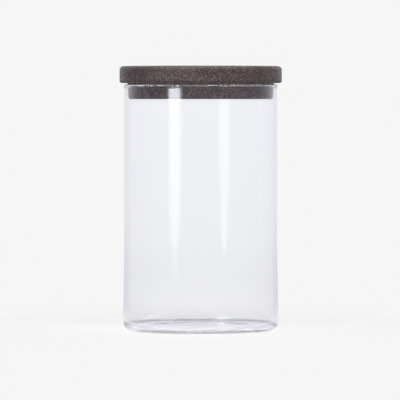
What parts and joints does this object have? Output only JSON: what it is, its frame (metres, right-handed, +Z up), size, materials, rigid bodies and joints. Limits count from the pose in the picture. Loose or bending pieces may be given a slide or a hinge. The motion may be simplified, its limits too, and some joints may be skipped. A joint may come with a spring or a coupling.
{
  "type": "storage jar",
  "caption": "Straight clear glass storage jar with a lift-off cork lid: a wide cork cap over a tapered cork plug that seats in the mouth, for dry food.",
  "frame": {"origin": "on the jar's axis, in the plane that its foot stands on", "axes": "+Z up along the jar's axis; the object is round, so X and Y are alike, and the picture looks along +Y"},
  "size_m": [0.106, 0.106, 0.1725],
  "materials": {
    "clear_glass": "clear, fire-polished, with a faint cool tint",
    "dark_cork": "matt dark agglomerated cork, fine granules"
  },
  "bodies": {
    "jar": {"glass_jar": "clear_glass"},
    "lid": {"cork_cap": "dark_cork", "cork_plug": "dark_cork"}
  },
  "joints": [
    {"name": "lid_lift", "type": "slide", "parent": "jar", "child": "lid", "axis": [0, 0, 1], "range_m": [0, 0.12]}
  ]
}
